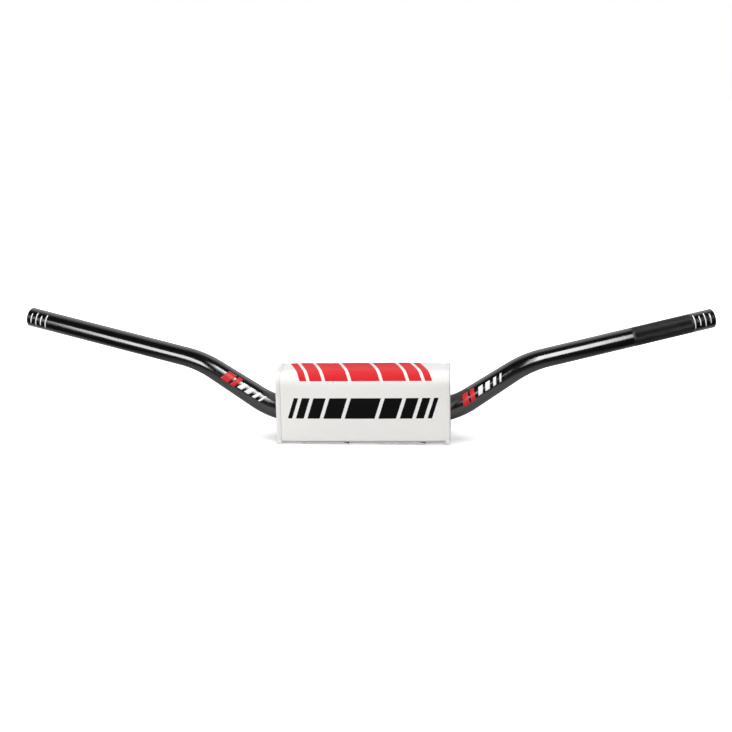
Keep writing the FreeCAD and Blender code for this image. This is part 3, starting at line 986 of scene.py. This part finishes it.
@dataclass
class BarPad:
    """The pad: its vinyl cover, end panels, bindings, flaps, tapes and foam."""

    form: PadForm = field(default_factory=PadForm)
    channel: float = 15.2 * MM
    channel_top: float = 19.4 * MM
    binding_width: float = 4.5 * MM
    binding_thickness: float = 0.75 * MM
    binding_gap: float = 0.1 * MM
    binding_rim: float = 4.0 * MM
    binding_overhang: float = 1.0 * MM
    binding_fold: float = 1.3 * MM
    stitch_pitch: float = 2.9 * MM
    stitch_length: float = 0.75 * 2.9 * MM
    stitch_radius: float = 0.26 * MM
    stitch_inset: float = 2.3 * MM
    stitch_depth: float = 2.6 * MM
    stuffing: Stuffing = Stuffing()
    hem_hold: float = 6.0 * MM
    binding_hold: float = 1.0 * MM
    tape_hold: float = 30.0 * MM
    flap_gap: float = 16.5 * MM
    flap_width: float = 54.0 * MM
    flap_rise: float = 28.0 * MM
    flap_setback: float = 1.5 * MM
    flap_gather: float = 0.25 * MM
    flap_turn: float = 3.7 * MM
    flap_corner: float = 5.0 * MM
    flap_stitch: float = 2.5 * MM
    tape_margin: float = 3.0 * MM
    tape_thickness: float = 1.0 * MM
    tape_stitch: float = 1.2 * MM
    tape_seams: tuple[float, float] = (26.0 * MM, 6.5 * MM)
    loop: Tape = Tape("loop_pile", "loop_tape", 24.0 * MM, 0.7 * MM, 0.3 * MM)
    hook: Tape = Tape("hook_ground", "hook_tape", 18.0 * MM, 1.75 * MM, 0.2 * MM)
    tape_sheet: float = 0.6 * MM
    tape_foot: float = 2.5 * MM
    tape_rim: float = 1.5 * MM
    panel_inset: float = 0.2 * MM
    panel_dome: float = 0.5 * MM
    panel_ripple: float = 0.2 * MM
    flap_wave: float = 0.5 * MM
    flap_peel: float = 0.7 * MM
    flap_droop: float = 1.2 * MM
    foam_cell: float = 1.9 * MM
    foam_pit: float = 0.35 * MM
    foam_fine_pit: float = 0.15 * MM
    foam_press: float = 0.35 * MM

    def skin(self, x: float, place: Matrix, lift: float = 0.0) -> Vector:
        """A point above the pad's skin.

        Args:
            x: Across the pad, along the bar.
            place: The place on the pad's outline, whose Z looks outward.
            lift: How far above the skin.

        Returns:
            The point, with the pad's swell.
        """
        point = place.translation + AXIAL * x
        outward = place.to_3x3() @ UPWARD
        return self.form.settle(point + outward * (self.form.swell(point) + lift))

    def cover_point(self, x: float, distance: float, lift: float = 0.0) -> Vector:
        """A point on the cover, so far round it from the front hem's edge."""
        return self.skin(x, self.form.outline().at(distance), lift)

    def make_cover(self, finish: bpy.types.Material, backing: bpy.types.Material) -> bpy.types.Object:
        """The vinyl sheet round the front, top and rear, with its two hems."""
        form = self.form
        reach = form.half_width - form.vinyl
        length = form.outline().length
        mesh = bmesh.new()
        add_grid(mesh, 78, 96, (2 * reach, length),
                 lambda across, along: self.cover_point((2 * across - 1) * reach, along * length), UPWARD)
        piece = finish_piece(mesh, "vinyl_cover", [finish, backing], 60.0)
        self.stuffing.press(piece, lambda across, along: self.is_sewn(across - reach, along))
        finer = piece.modifiers.new("finer", "SUBSURF")
        finer.levels = finer.render_levels = 1
        thicken(piece, form.vinyl, inner_slot=1)
        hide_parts("pad_cover")
        return piece

    def is_sewn(self, x: float, distance: float) -> bool:
        """Whether the cover is held there, under a binding, in a hem or under a loop tape."""
        form = self.form
        length = form.outline().length
        hem = form.hem + self.hem_hold
        in_binding = abs(x) > form.half_width - self.binding_width - self.binding_hold
        in_hem = distance < hem or distance > length - hem
        from_tape = abs(abs(x) - self.flap_gap - self.flap_width / 2) - self.flap_width / 2
        in_tape = from_tape < 0 and distance > length - form.hem - self.tape_hold
        return in_binding or in_hem or in_tape

    def make_end_panel(self, side: Side, finish: bpy.types.Material,
                       backing: bpy.types.Material) -> bpy.types.Object:
        """The panel sewn into one end, domed a little by the foam, with its opening for the bar."""
        form = self.form
        outer = form.outline()
        wall = self.channel_top - self.channel - form.low
        inner = Path3D(
            Matrix.Translation((0.0, -self.channel, form.low)) @ axes(UPWARD, -AXIAL, -REARWARD),
            (Stretch(wall), Stretch(self.channel * math.pi, math.pi, -UPWARD), Stretch(wall)))

        def place(across: float, along: float) -> Vector:
            """A point between the outline and the opening."""
            station = outer.at(along * outer.length)
            pressed = form.swell(station.translation + AXIAL * form.half_width) - self.panel_inset
            rim = station.translation + station.to_3x3() @ UPWARD * pressed
            mouth = inner.at(along * inner.length).translation
            point = rim.lerp(mouth, across)
            dome = self.panel_dome * math.sin(math.pi * min(1.0, across * 1.15)) ** 0.8
            ripple = self.panel_ripple * noise.noise(point * 60.0)
            return form.settle(Vector((side.value * (form.half_width + dome + ripple), point.y, point.z)))

        mesh = bmesh.new()
        add_grid(mesh, 20, 150, (20 * MM, outer.length), place, AXIAL * side.value)
        piece = finish_piece(mesh, f"end_panel_vinyl_{side.word}", [finish, backing], 60.0)
        thicken(piece, form.vinyl, inner_slot=1)
        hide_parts(f"end_panel_{side.word}")
        return piece

    def binding_path(self) -> Path3D:
        """The seam's path, from the front foot over the top to the rear foot; its Z looks outward."""
        form = self.form
        turn = math.pi / 2
        start = (Matrix.Translation((0.0, -form.half_depth, form.low - self.binding_overhang))
                 @ axes(UPWARD, -AXIAL, -REARWARD))
        upright = form.top - form.corner - form.low + self.binding_overhang
        across = 2 * (form.half_depth - form.corner)
        corner = form.corner * turn
        return Path3D(start, (Stretch(upright), Stretch(corner, turn, -UPWARD), Stretch(across),
                              Stretch(corner, turn, -UPWARD), Stretch(upright)))

    def make_binding(self, side: Side, finish: bpy.types.Material) -> bpy.types.Object:
        """The tape folded over the seam at one end."""
        thick, gap, rim = self.binding_thickness, self.binding_gap, self.binding_rim
        end = self.form.half_width
        inner = end - self.binding_width
        radius = self.binding_fold
        section = [(inner, gap), (inner, gap + thick * 0.7), (inner + 0.3 * MM, gap + thick)]
        for step in range(7):
            angle = math.pi / 2 * step / 6
            section.append((end + thick - radius + radius * math.sin(angle),
                            gap + thick - radius + radius * math.cos(angle)))
        section += [(end + thick, -rim + 0.3 * MM), (end + thick * 0.7, -rim), (end + gap, -rim),
                    (end + gap, -0.4 * MM), (end - 0.3 * MM, gap)]
        path = self.binding_path()

        def place(across: float, along: float) -> Vector:
            """A point of the folded section, which closes on itself."""
            x, lift = section[round(across * len(section)) % len(section)]
            wave = 0.1 * MM * noise.noise(Vector((side.value * 9.0, along * 31.0, x * 60.0)))
            return self.skin(side.value * (x + wave), path.at(along * path.length), lift + wave)

        mesh = bmesh.new()
        add_grid(mesh, len(section), 170, (14 * MM, path.length), place, -REARWARD)
        bmesh.ops.remove_doubles(mesh, verts=mesh.verts, dist=MM / 1000)
        bmesh.ops.holes_fill(mesh, edges=[edge for edge in mesh.edges if edge.is_boundary], sides=0)
        bmesh.ops.recalc_face_normals(mesh, faces=mesh.faces)
        piece = finish_piece(mesh, f"binding_tape_{side.word}", [finish], 50.0)
        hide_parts(f"edge_binding_{side.word}")
        return piece

    def sew(self, mesh: bmesh.types.BMesh, first: Vector, last: Vector, outward: Vector) -> None:
        """Adds one stitch between two points of a seam, half sunk into the cloth."""
        along = (last - first).normalized()
        across = outward.cross(along).normalized()
        middle = (first + last) / 2
        place = Matrix.Translation(middle) @ axes(along, across, along.cross(across))
        size = Matrix.Diagonal(((last - first).length / 2, self.stitch_radius, self.stitch_radius, 1.0))
        bmesh.ops.create_icosphere(mesh, subdivisions=2, radius=1.0, matrix=place @ size)

    def make_seam(self, side: Side, thread: bpy.types.Material) -> bpy.types.Object:
        """The row of stitches through one binding, on the cover and on the end panel."""
        form = self.form
        mesh = bmesh.new()
        path = self.binding_path()
        top = self.binding_gap + self.binding_thickness
        count = int(path.length / self.stitch_pitch)
        for number in range(count):
            start = path.at((number + 0.2) * self.stitch_pitch)
            stop = path.at((number + 0.95) * self.stitch_pitch)
            inset = side.value * (form.half_width - self.stitch_inset)
            self.sew(mesh, self.skin(inset, start, top), self.skin(inset, stop, top),
                     start.to_3x3() @ UPWARD)
            outer = side.value * (form.half_width + self.binding_thickness)
            self.sew(mesh, self.skin(outer, start, -self.stitch_depth),
                     self.skin(outer, stop, -self.stitch_depth), AXIAL * side.value)
        piece = finish_piece(mesh, f"seam_thread_{side.word}", [thread])
        return piece

    def flap_path(self) -> Path3D:
        """The flap's outer face, from below the front hem to its end at the rear; its Z looks outward."""
        form = self.form
        turn = math.pi / 2
        outside = form.low - form.vinyl - self.flap_gather
        rear = form.half_depth + form.vinyl + 2 * self.tape_thickness
        start = (Matrix.Translation((0.0, -(form.half_depth - self.flap_setback), outside))
                 @ axes(REARWARD, AXIAL, -UPWARD))
        below = rear - self.flap_turn + form.half_depth - self.flap_setback
        return Path3D(start, (Stretch(below), Stretch(self.flap_turn * turn, turn, -UPWARD),
                              Stretch(self.flap_rise - self.flap_turn + form.vinyl)))

    def flap_point(self, side: Side, across: float, along: float) -> Vector:
        """A point of a flap's outer face.

        Args:
            side: Which flap.
            across: The share across the flap, towards the rider's left.
            along: The share along the flap, from its sewn edge.

        Returns:
            The point, with the flap's curled corner and its soft waves.
        """
        form = self.form
        path = self.flap_path()
        radius = self.flap_corner
        edge = min(across, 1 - across) * self.flap_width
        shortened = 0.0
        if edge < radius:
            shortened = (radius - math.sqrt(radius ** 2 - (radius - edge) ** 2)) / path.length
        place = path.at(min(along, 1.0) * path.length * (1 - shortened))
        outward = place.to_3x3() @ UPWARD
        middle = side.value * (self.flap_gap + self.flap_width / 2)
        x = middle + (across - 0.5) * self.flap_width
        point = place.translation + AXIAL * x
        upright = max(0.0, outward.y)
        pressed = form.swell(Vector((x, form.half_depth, point.z))) * upright
        front = max(0.0, 1 - along * path.length / (11 * MM)) ** 2
        corner = max(0.0, 1 - (1 - across) * self.flap_width / (10 * MM)) ** 1.5
        loose = math.sin(math.pi * min(1.0, max(0.0, along / 0.66)))
        slack = 0.5 + noise.noise(Vector((x * 45, along * 4, 2.0)))
        wave = -self.flap_wave * loose * slack * (1 - upright)
        free_end = max(0.0, along - 0.82) / 0.18
        peel = self.flap_peel * free_end ** 2 * (0.6 + noise.noise(Vector((x * 70, 5.0, 1.0))))
        droop = self.flap_droop * front * corner
        return form.settle(point + outward * (pressed + wave + peel + droop))

    def make_flap(self, side: Side, finish: bpy.types.Material, backing: bpy.types.Material,
                  thread: bpy.types.Material) -> bpy.types.Object:
        """One closing flap, sewn below the front hem and fastened up the pad's rear, with its stitching."""
        length = self.flap_path().length
        mesh = bmesh.new()
        add_grid(mesh, 44, 84, (self.flap_width, length),
                 lambda across, along: self.flap_point(side, across, along), -UPWARD)
        piece = finish_piece(mesh, f"closing_flap_{side.word}", [finish, backing], 60.0)
        thicken(piece, self.form.vinyl, inner_slot=1)
        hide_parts(f"closure_flap_{side.word}")
        stitches = self.make_flap_seams(side, thread)
        return piece

    def make_flap_seams(self, side: Side, thread: bpy.types.Material) -> bpy.types.Object:
        """The stitches along a flap's sewn edge and round its hook tape."""
        mesh = bmesh.new()
        width, length, pitch = self.flap_width, self.flap_path().length, self.stitch_pitch

        def stitch(across: float, along: float, ahead: tuple[float, float], outward: Vector) -> None:
            """Adds a stitch from a point in metres across and along the flap, so far ahead."""
            self.sew(mesh, self.flap_point(side, across / width, along / length),
                     self.flap_point(side, across / width + ahead[0] / width,
                                     along / length + ahead[1] / length), outward)

        edge = self.flap_stitch
        for start in self.pitches(width - 2 * edge, pitch):
            stitch(edge + start, edge, (self.stitch_length, 0.0), -UPWARD)
        low, high = (length - seam for seam in self.tape_seams)
        left = self.tape_margin + self.tape_stitch
        right = width - left
        for start in self.pitches(right - left, pitch):
            for along in (low, high):
                stitch(left + start, along, (self.stitch_length, 0.0), REARWARD)
        for start in self.pitches(high - low, pitch):
            for across in (left, right):
                stitch(across, low + start, (0.0, self.stitch_length), REARWARD)
        piece = finish_piece(mesh, f"flap_thread_{side.word}", [thread])
        return piece

    @staticmethod
    def pitches(length: float, pitch: float) -> Iterator[float]:
        """The starts of the stitches that a seam of that length holds."""
        count = int(length / pitch)
        for number in range(count):
            yield length * number / count

    def make_tape(self, tape: Tape, side: Side, finish: bpy.types.Material) -> bpy.types.Object:
        """The loop tape on the cover's rear or the hook tape on the flap's inner face."""
        form = self.form
        width = self.flap_width - 2 * self.tape_margin
        middle = side.value * (self.flap_gap + self.flap_width / 2)
        rear_start = form.outline().length - (form.hem - form.foot) - form.foot * math.pi / 2
        low = rear_start - self.tape_foot

        def place(across: float, along: float) -> Vector:
            """A point of the tape's face."""
            x = middle + (across - 0.5) * width
            rim = min(across, 1 - across) * width
            cell = Vector((x * 1100, along * tape.height * 1100, 0.0))
            rough = tape.pile * noise.cell(cell) if rim > self.tape_rim else 0.0
            return self.cover_point(x, low - tape.height * (1 - along), tape.lift + rough)

        mesh = bmesh.new()
        add_grid(mesh, 60, 32, (width, tape.height), place, REARWARD)
        piece = finish_piece(mesh, f"{tape.piece}_{side.word}", [finish], 80.0)
        thicken(piece, self.tape_sheet)
        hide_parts(f"{tape.slot}_{side.word}")
        return piece

    def make_foam(self, finish: bpy.types.Material) -> bpy.types.Object:
        """The foam block, with its cut cells, where the model has its plain solid."""
        form = self.form
        mesh = bmesh.new()
        mesh.from_mesh(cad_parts["pad_foam"].data)
        bmesh.ops.remove_doubles(mesh, verts=mesh.verts, dist=MM / 1000)
        block = finish_piece(mesh, "cut_foam", [finish], 180.0)
        remesh = block.modifiers.new("cells", "REMESH")
        remesh.mode = "VOXEL"
        remesh.voxel_size = self.foam_cell
        even = bpy.data.meshes.new_from_object(block.evaluated_get(bpy.context.evaluated_depsgraph_get()))
        block.modifiers.clear()
        cells = bmesh.new()
        cells.from_mesh(even)
        cells.normal_update()
        for vert in cells.verts:
            point = vert.co.copy()
            pit = (self.foam_pit * noise.voronoi(point * 420.0)[0][0]
                   + self.foam_fine_pit * noise.noise(point * 900.0))
            near_cover = abs(point.y) > 27 * MM or point.z > 46 * MM or point.z < -24 * MM
            pressed = min(0.0, form.swell(point)) - self.foam_press if near_cover else 0.0
            inward = Vector((0.0, point.y, point.z - 10 * MM)).normalized()
            vert.co = form.settle(point - vert.normal * pit + inward * pressed)
        cells.to_mesh(block.data)
        cells.free()
        bpy.data.meshes.remove(even)
        block.data.shade_smooth()
        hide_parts("pad_foam")
        return block


# The studio

@dataclass(frozen=True)
class SoftBox:
    """A soft box that looks at the bar.

    Its direction is in degrees, from the rear towards the rider's left and above the horizon, its
    sides are in metres and its power is in watts. One that isn't mirrored lights matter faces alone.
    """

    name: str
    azimuth: float
    elevation: float
    width: float
    height: float
    power: float
    mirrored: bool = True


@dataclass(frozen=True)
class Studio:
    """The floor, the world, the soft boxes and the camera of the photograph's view."""

    camera_at: tuple[float, float, float] = (0.104756, -1.464624, 0.413373)
    azimuth: float = math.radians(-3.97227)
    elevation: float = math.radians(13.8068)
    roll: float = math.radians(-0.688209)
    focal: float = 1320.94
    frame_width: float = 732.0
    sensor: float = 36.0
    lamp_reach: float = 1.7
    wall: float = 1.3
    room: float = 0.012
    near_lift: float = 0.32
    floor_reach: float = 8.0
    floor_gap: float = 0.1 * MM
    boxes: tuple[SoftBox, ...] = (
        SoftBox("left_box", -147.0, 11.5, 0.98, 0.84, 12.8),
        SoftBox("right_box", 149.9, 32.0, 0.517, 1.12, 10.6),
        SoftBox("right_side", 165.6, 32.0, 0.423, 1.12, 3.4),
        SoftBox("overhead", 0.0, 84.0, 1.4, 1.4, 20.0, mirrored=False),
        SoftBox("fill", -135.0, 30.0, 1.4, 1.4, 9.0, mirrored=False),
    )

    def add_camera(self) -> None:
        """The camera at the photograph's angle."""
        view = Vector((math.sin(self.azimuth) * math.cos(self.elevation),
                       math.cos(self.azimuth) * math.cos(self.elevation), -math.sin(self.elevation)))
        level = Vector((math.cos(self.azimuth), -math.sin(self.azimuth), 0.0))
        upright = level.cross(view)
        right = level * math.cos(self.roll) + upright * math.sin(self.roll)
        top = upright * math.cos(self.roll) - level * math.sin(self.roll)
        data = bpy.data.cameras.new("camera")
        data.sensor_width = self.sensor
        data.lens = self.focal * self.sensor / self.frame_width
        data.clip_end = 20.0
        camera = bpy.data.objects.new("camera", data)
        camera.matrix_world = Matrix((
            (right.x, top.x, -view.x, self.camera_at[0]), (right.y, top.y, -view.y, self.camera_at[1]),
            (right.z, top.z, -view.z, self.camera_at[2]), (0.0, 0.0, 0.0, 1.0)))
        bpy.context.scene.collection.objects.link(camera)
        bpy.context.scene.camera = camera

    def add_lamp(self, box: SoftBox) -> None:
        """A lamp for one soft box."""
        turn, lift = math.radians(box.azimuth), math.radians(box.elevation)
        away = Vector((math.sin(turn) * math.cos(lift), math.cos(turn) * math.cos(lift), math.sin(lift)))
        data = bpy.data.lights.new(box.name, "AREA")
        data.shape = "RECTANGLE"
        data.size, data.size_y = box.width, box.height
        data.energy = box.power
        lamp = bpy.data.objects.new(box.name, data)
        facing = away.to_track_quat("Z", "Y").to_matrix().to_4x4()
        lamp.matrix_world = Matrix.Translation(away * self.lamp_reach) @ facing
        lamp.visible_glossy = box.mirrored
        bpy.context.scene.collection.objects.link(lamp)

    def add_world(self) -> None:
        """White where the camera looks, and for the bar a tall white wall behind and a dark room."""
        world = bpy.data.worlds.new("studio")
        bpy.context.scene.world = world
        world.use_nodes = True
        graph = Nodes(world.node_tree)
        split = graph.add("SeparateXYZ")
        graph.feed(split.inputs[0], graph.add("TexCoord").outputs["Generated"])
        above = graph.ramp(split.outputs["Z"], 0.15, 0.42)
        above.node.interpolation_type = "SMOOTHSTEP"
        facing = graph.math("MAXIMUM", graph.math("MULTIPLY", split.outputs["Y"], self.wall), 0.0)
        behind = graph.math("MINIMUM", facing, 1.0)
        room = graph.math("ADD", graph.math("MULTIPLY", behind, above), self.room)
        pick = graph.add("Mix")
        graph.feed(pick.inputs["Factor"], graph.add("LightPath").outputs["Is Camera Ray"])
        graph.feed(pick.inputs["A"], room)
        graph.feed(pick.inputs["B"], 1.0)
        shade = graph.nodes["Background"]
        graph.feed(shade.inputs["Strength"], pick.outputs["Result"])
        graph.feed(shade.inputs["Color"], paint(1.0, 1.0, 1.0))

    def add_floor(self) -> None:
        """A floor just below the pad, white to the camera and darker to the rays that light the bar."""
        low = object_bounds()[0][2]
        mesh = bmesh.new()
        bmesh.ops.create_grid(mesh, x_segments=1, y_segments=1, size=self.floor_reach,
                              matrix=Matrix.Translation((0.0, 0.0, low - self.floor_gap)))
        data = bpy.data.meshes.new("floor")
        mesh.to_mesh(data)
        mesh.free()
        graph = Graph("pale_floor")
        split = graph.add("SeparateXYZ")
        graph.feed(split.inputs[0], graph.place())
        rays = graph.add("LightPath").outputs["Is Camera Ray"]
        paper = graph.grain(graph.place(), 700.0, 3.0)
        pale = graph.blend(graph.ramp(paper, 0.3, 0.7), paint(0.86, 0.86, 0.86), paint(0.88, 0.88, 0.88))
        away = graph.add("VectorMath", operation="LENGTH")
        graph.feed(away.inputs[0], graph.place(None, (0.8, 1.0, 1.0)))
        patch = graph.ramp(away.outputs["Value"], 0.17, 0.3, 0.36, 0.01)
        rear = graph.ramp(split.outputs["Y"], -0.01, 0.13, 0.0, 0.65)
        grey = graph.math("MAXIMUM", patch, rear)
        bounced = graph.add("CombineColor")
        for channel in bounced.inputs:
            graph.feed(channel, grey)
        tone = graph.blend(rays, bounced.outputs[0], pale)
        graph.dress(Base_Color=tone, Roughness=0.9, Specular_IOR_Level=0.1)
        lift = graph.ramp(away.outputs["Value"], 0.12, 0.4, self.near_lift, 1.0)
        glow = graph.add("Emission")
        graph.feed(glow.inputs["Strength"], graph.math("MULTIPLY", rays, lift))
        both = graph.add("AddShader")
        graph.feed(both.inputs[0], graph.shader.outputs[0])
        graph.feed(both.inputs[1], glow.outputs[0])
        under = graph.math("MULTIPLY", rays, graph.add("NewGeometry").outputs["Backfacing"])
        seen = graph.add("MixShader")
        graph.feed(seen.inputs[0], under)
        graph.feed(seen.inputs[1], both.outputs[0])
        graph.feed(seen.inputs[2], graph.add("BsdfTransparent").outputs[0])
        graph.feed(graph.nodes["Material Output"].inputs["Surface"], seen.outputs[0])
        data.materials.append(graph.material)
        floor = bpy.data.objects.new("floor", data)
        bpy.context.scene.collection.objects.link(floor)
        floor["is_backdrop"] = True

    def build(self) -> None:
        """Sets up all of the studio round the finished object."""
        self.add_camera()
        for box in self.boxes:
            self.add_lamp(box)
        self.add_world()
        self.add_floor()
        bpy.context.scene.view_settings.view_transform = "Standard"


def keep_sizes() -> None:
    """Gathers the boxes of the CAD model and of the dressed one, as plain lists of numbers."""
    boxes = {"cad": CAD_BOX, "visual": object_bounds()}
    plain = {name: [[float(value) for value in corner] for corner in box] for name, box in boxes.items()}


def build_bar() -> None:
    """Builds the tube with its knurl, cut marks and prints."""
    anodised = AnodisedFinish().material()
    white_ink = InkFinish("white_ink", (0.9, 0.9, 0.9)).material()
    red_ink = InkFinish("red_ink", (0.62, 0.012, 0.018), 0.3).material()
    tube = HandlebarTube()
    tube.make_tube(anodised)
    tube.make_knurl(KnurlFinish().material())
    tube.make_marks(white_ink)
    tube.make_print(RED_BARS, red_ink)
    tube.make_print(WHITE_BARS, white_ink)


def build_pad() -> None:
    """Builds the pad with its cover and foam, and with both of its ends and flaps."""
    plain = VinylFinish("plain_vinyl").material()
    backing = KnitFinish("knit_backing").material()
    pad = BarPad()
    pad.make_cover(VinylFinish("printed_vinyl", prints=(FRONT_PRINT, TOP_PRINT)).material(), backing)
    thread = ThreadFinish("white_thread").material()
    hooks = HookFinish().material()
    pile = KnitFinish("loop_pile", (0.02, 0.02, 0.021), 0.0009).material()
    pad.make_foam(FoamFinish().material())
    for side in Side:
        pad.make_end_panel(side, plain, backing)
        pad.make_binding(side, plain)
        pad.make_seam(side, thread)
        pad.make_tape(pad.loop, side, pile)
        pad.make_tape(pad.hook, side, hooks)
        pad.make_flap(side, plain, backing, thread)


def main() -> None:
    """Builds the bar, the pad and the studio round them."""
    logging.basicConfig(level=logging.INFO, format="%(name)s %(message)s")
    build_bar()
    build_pad()
    Studio().build()
    keep_sizes()


if __name__ == "__main__":
    main()
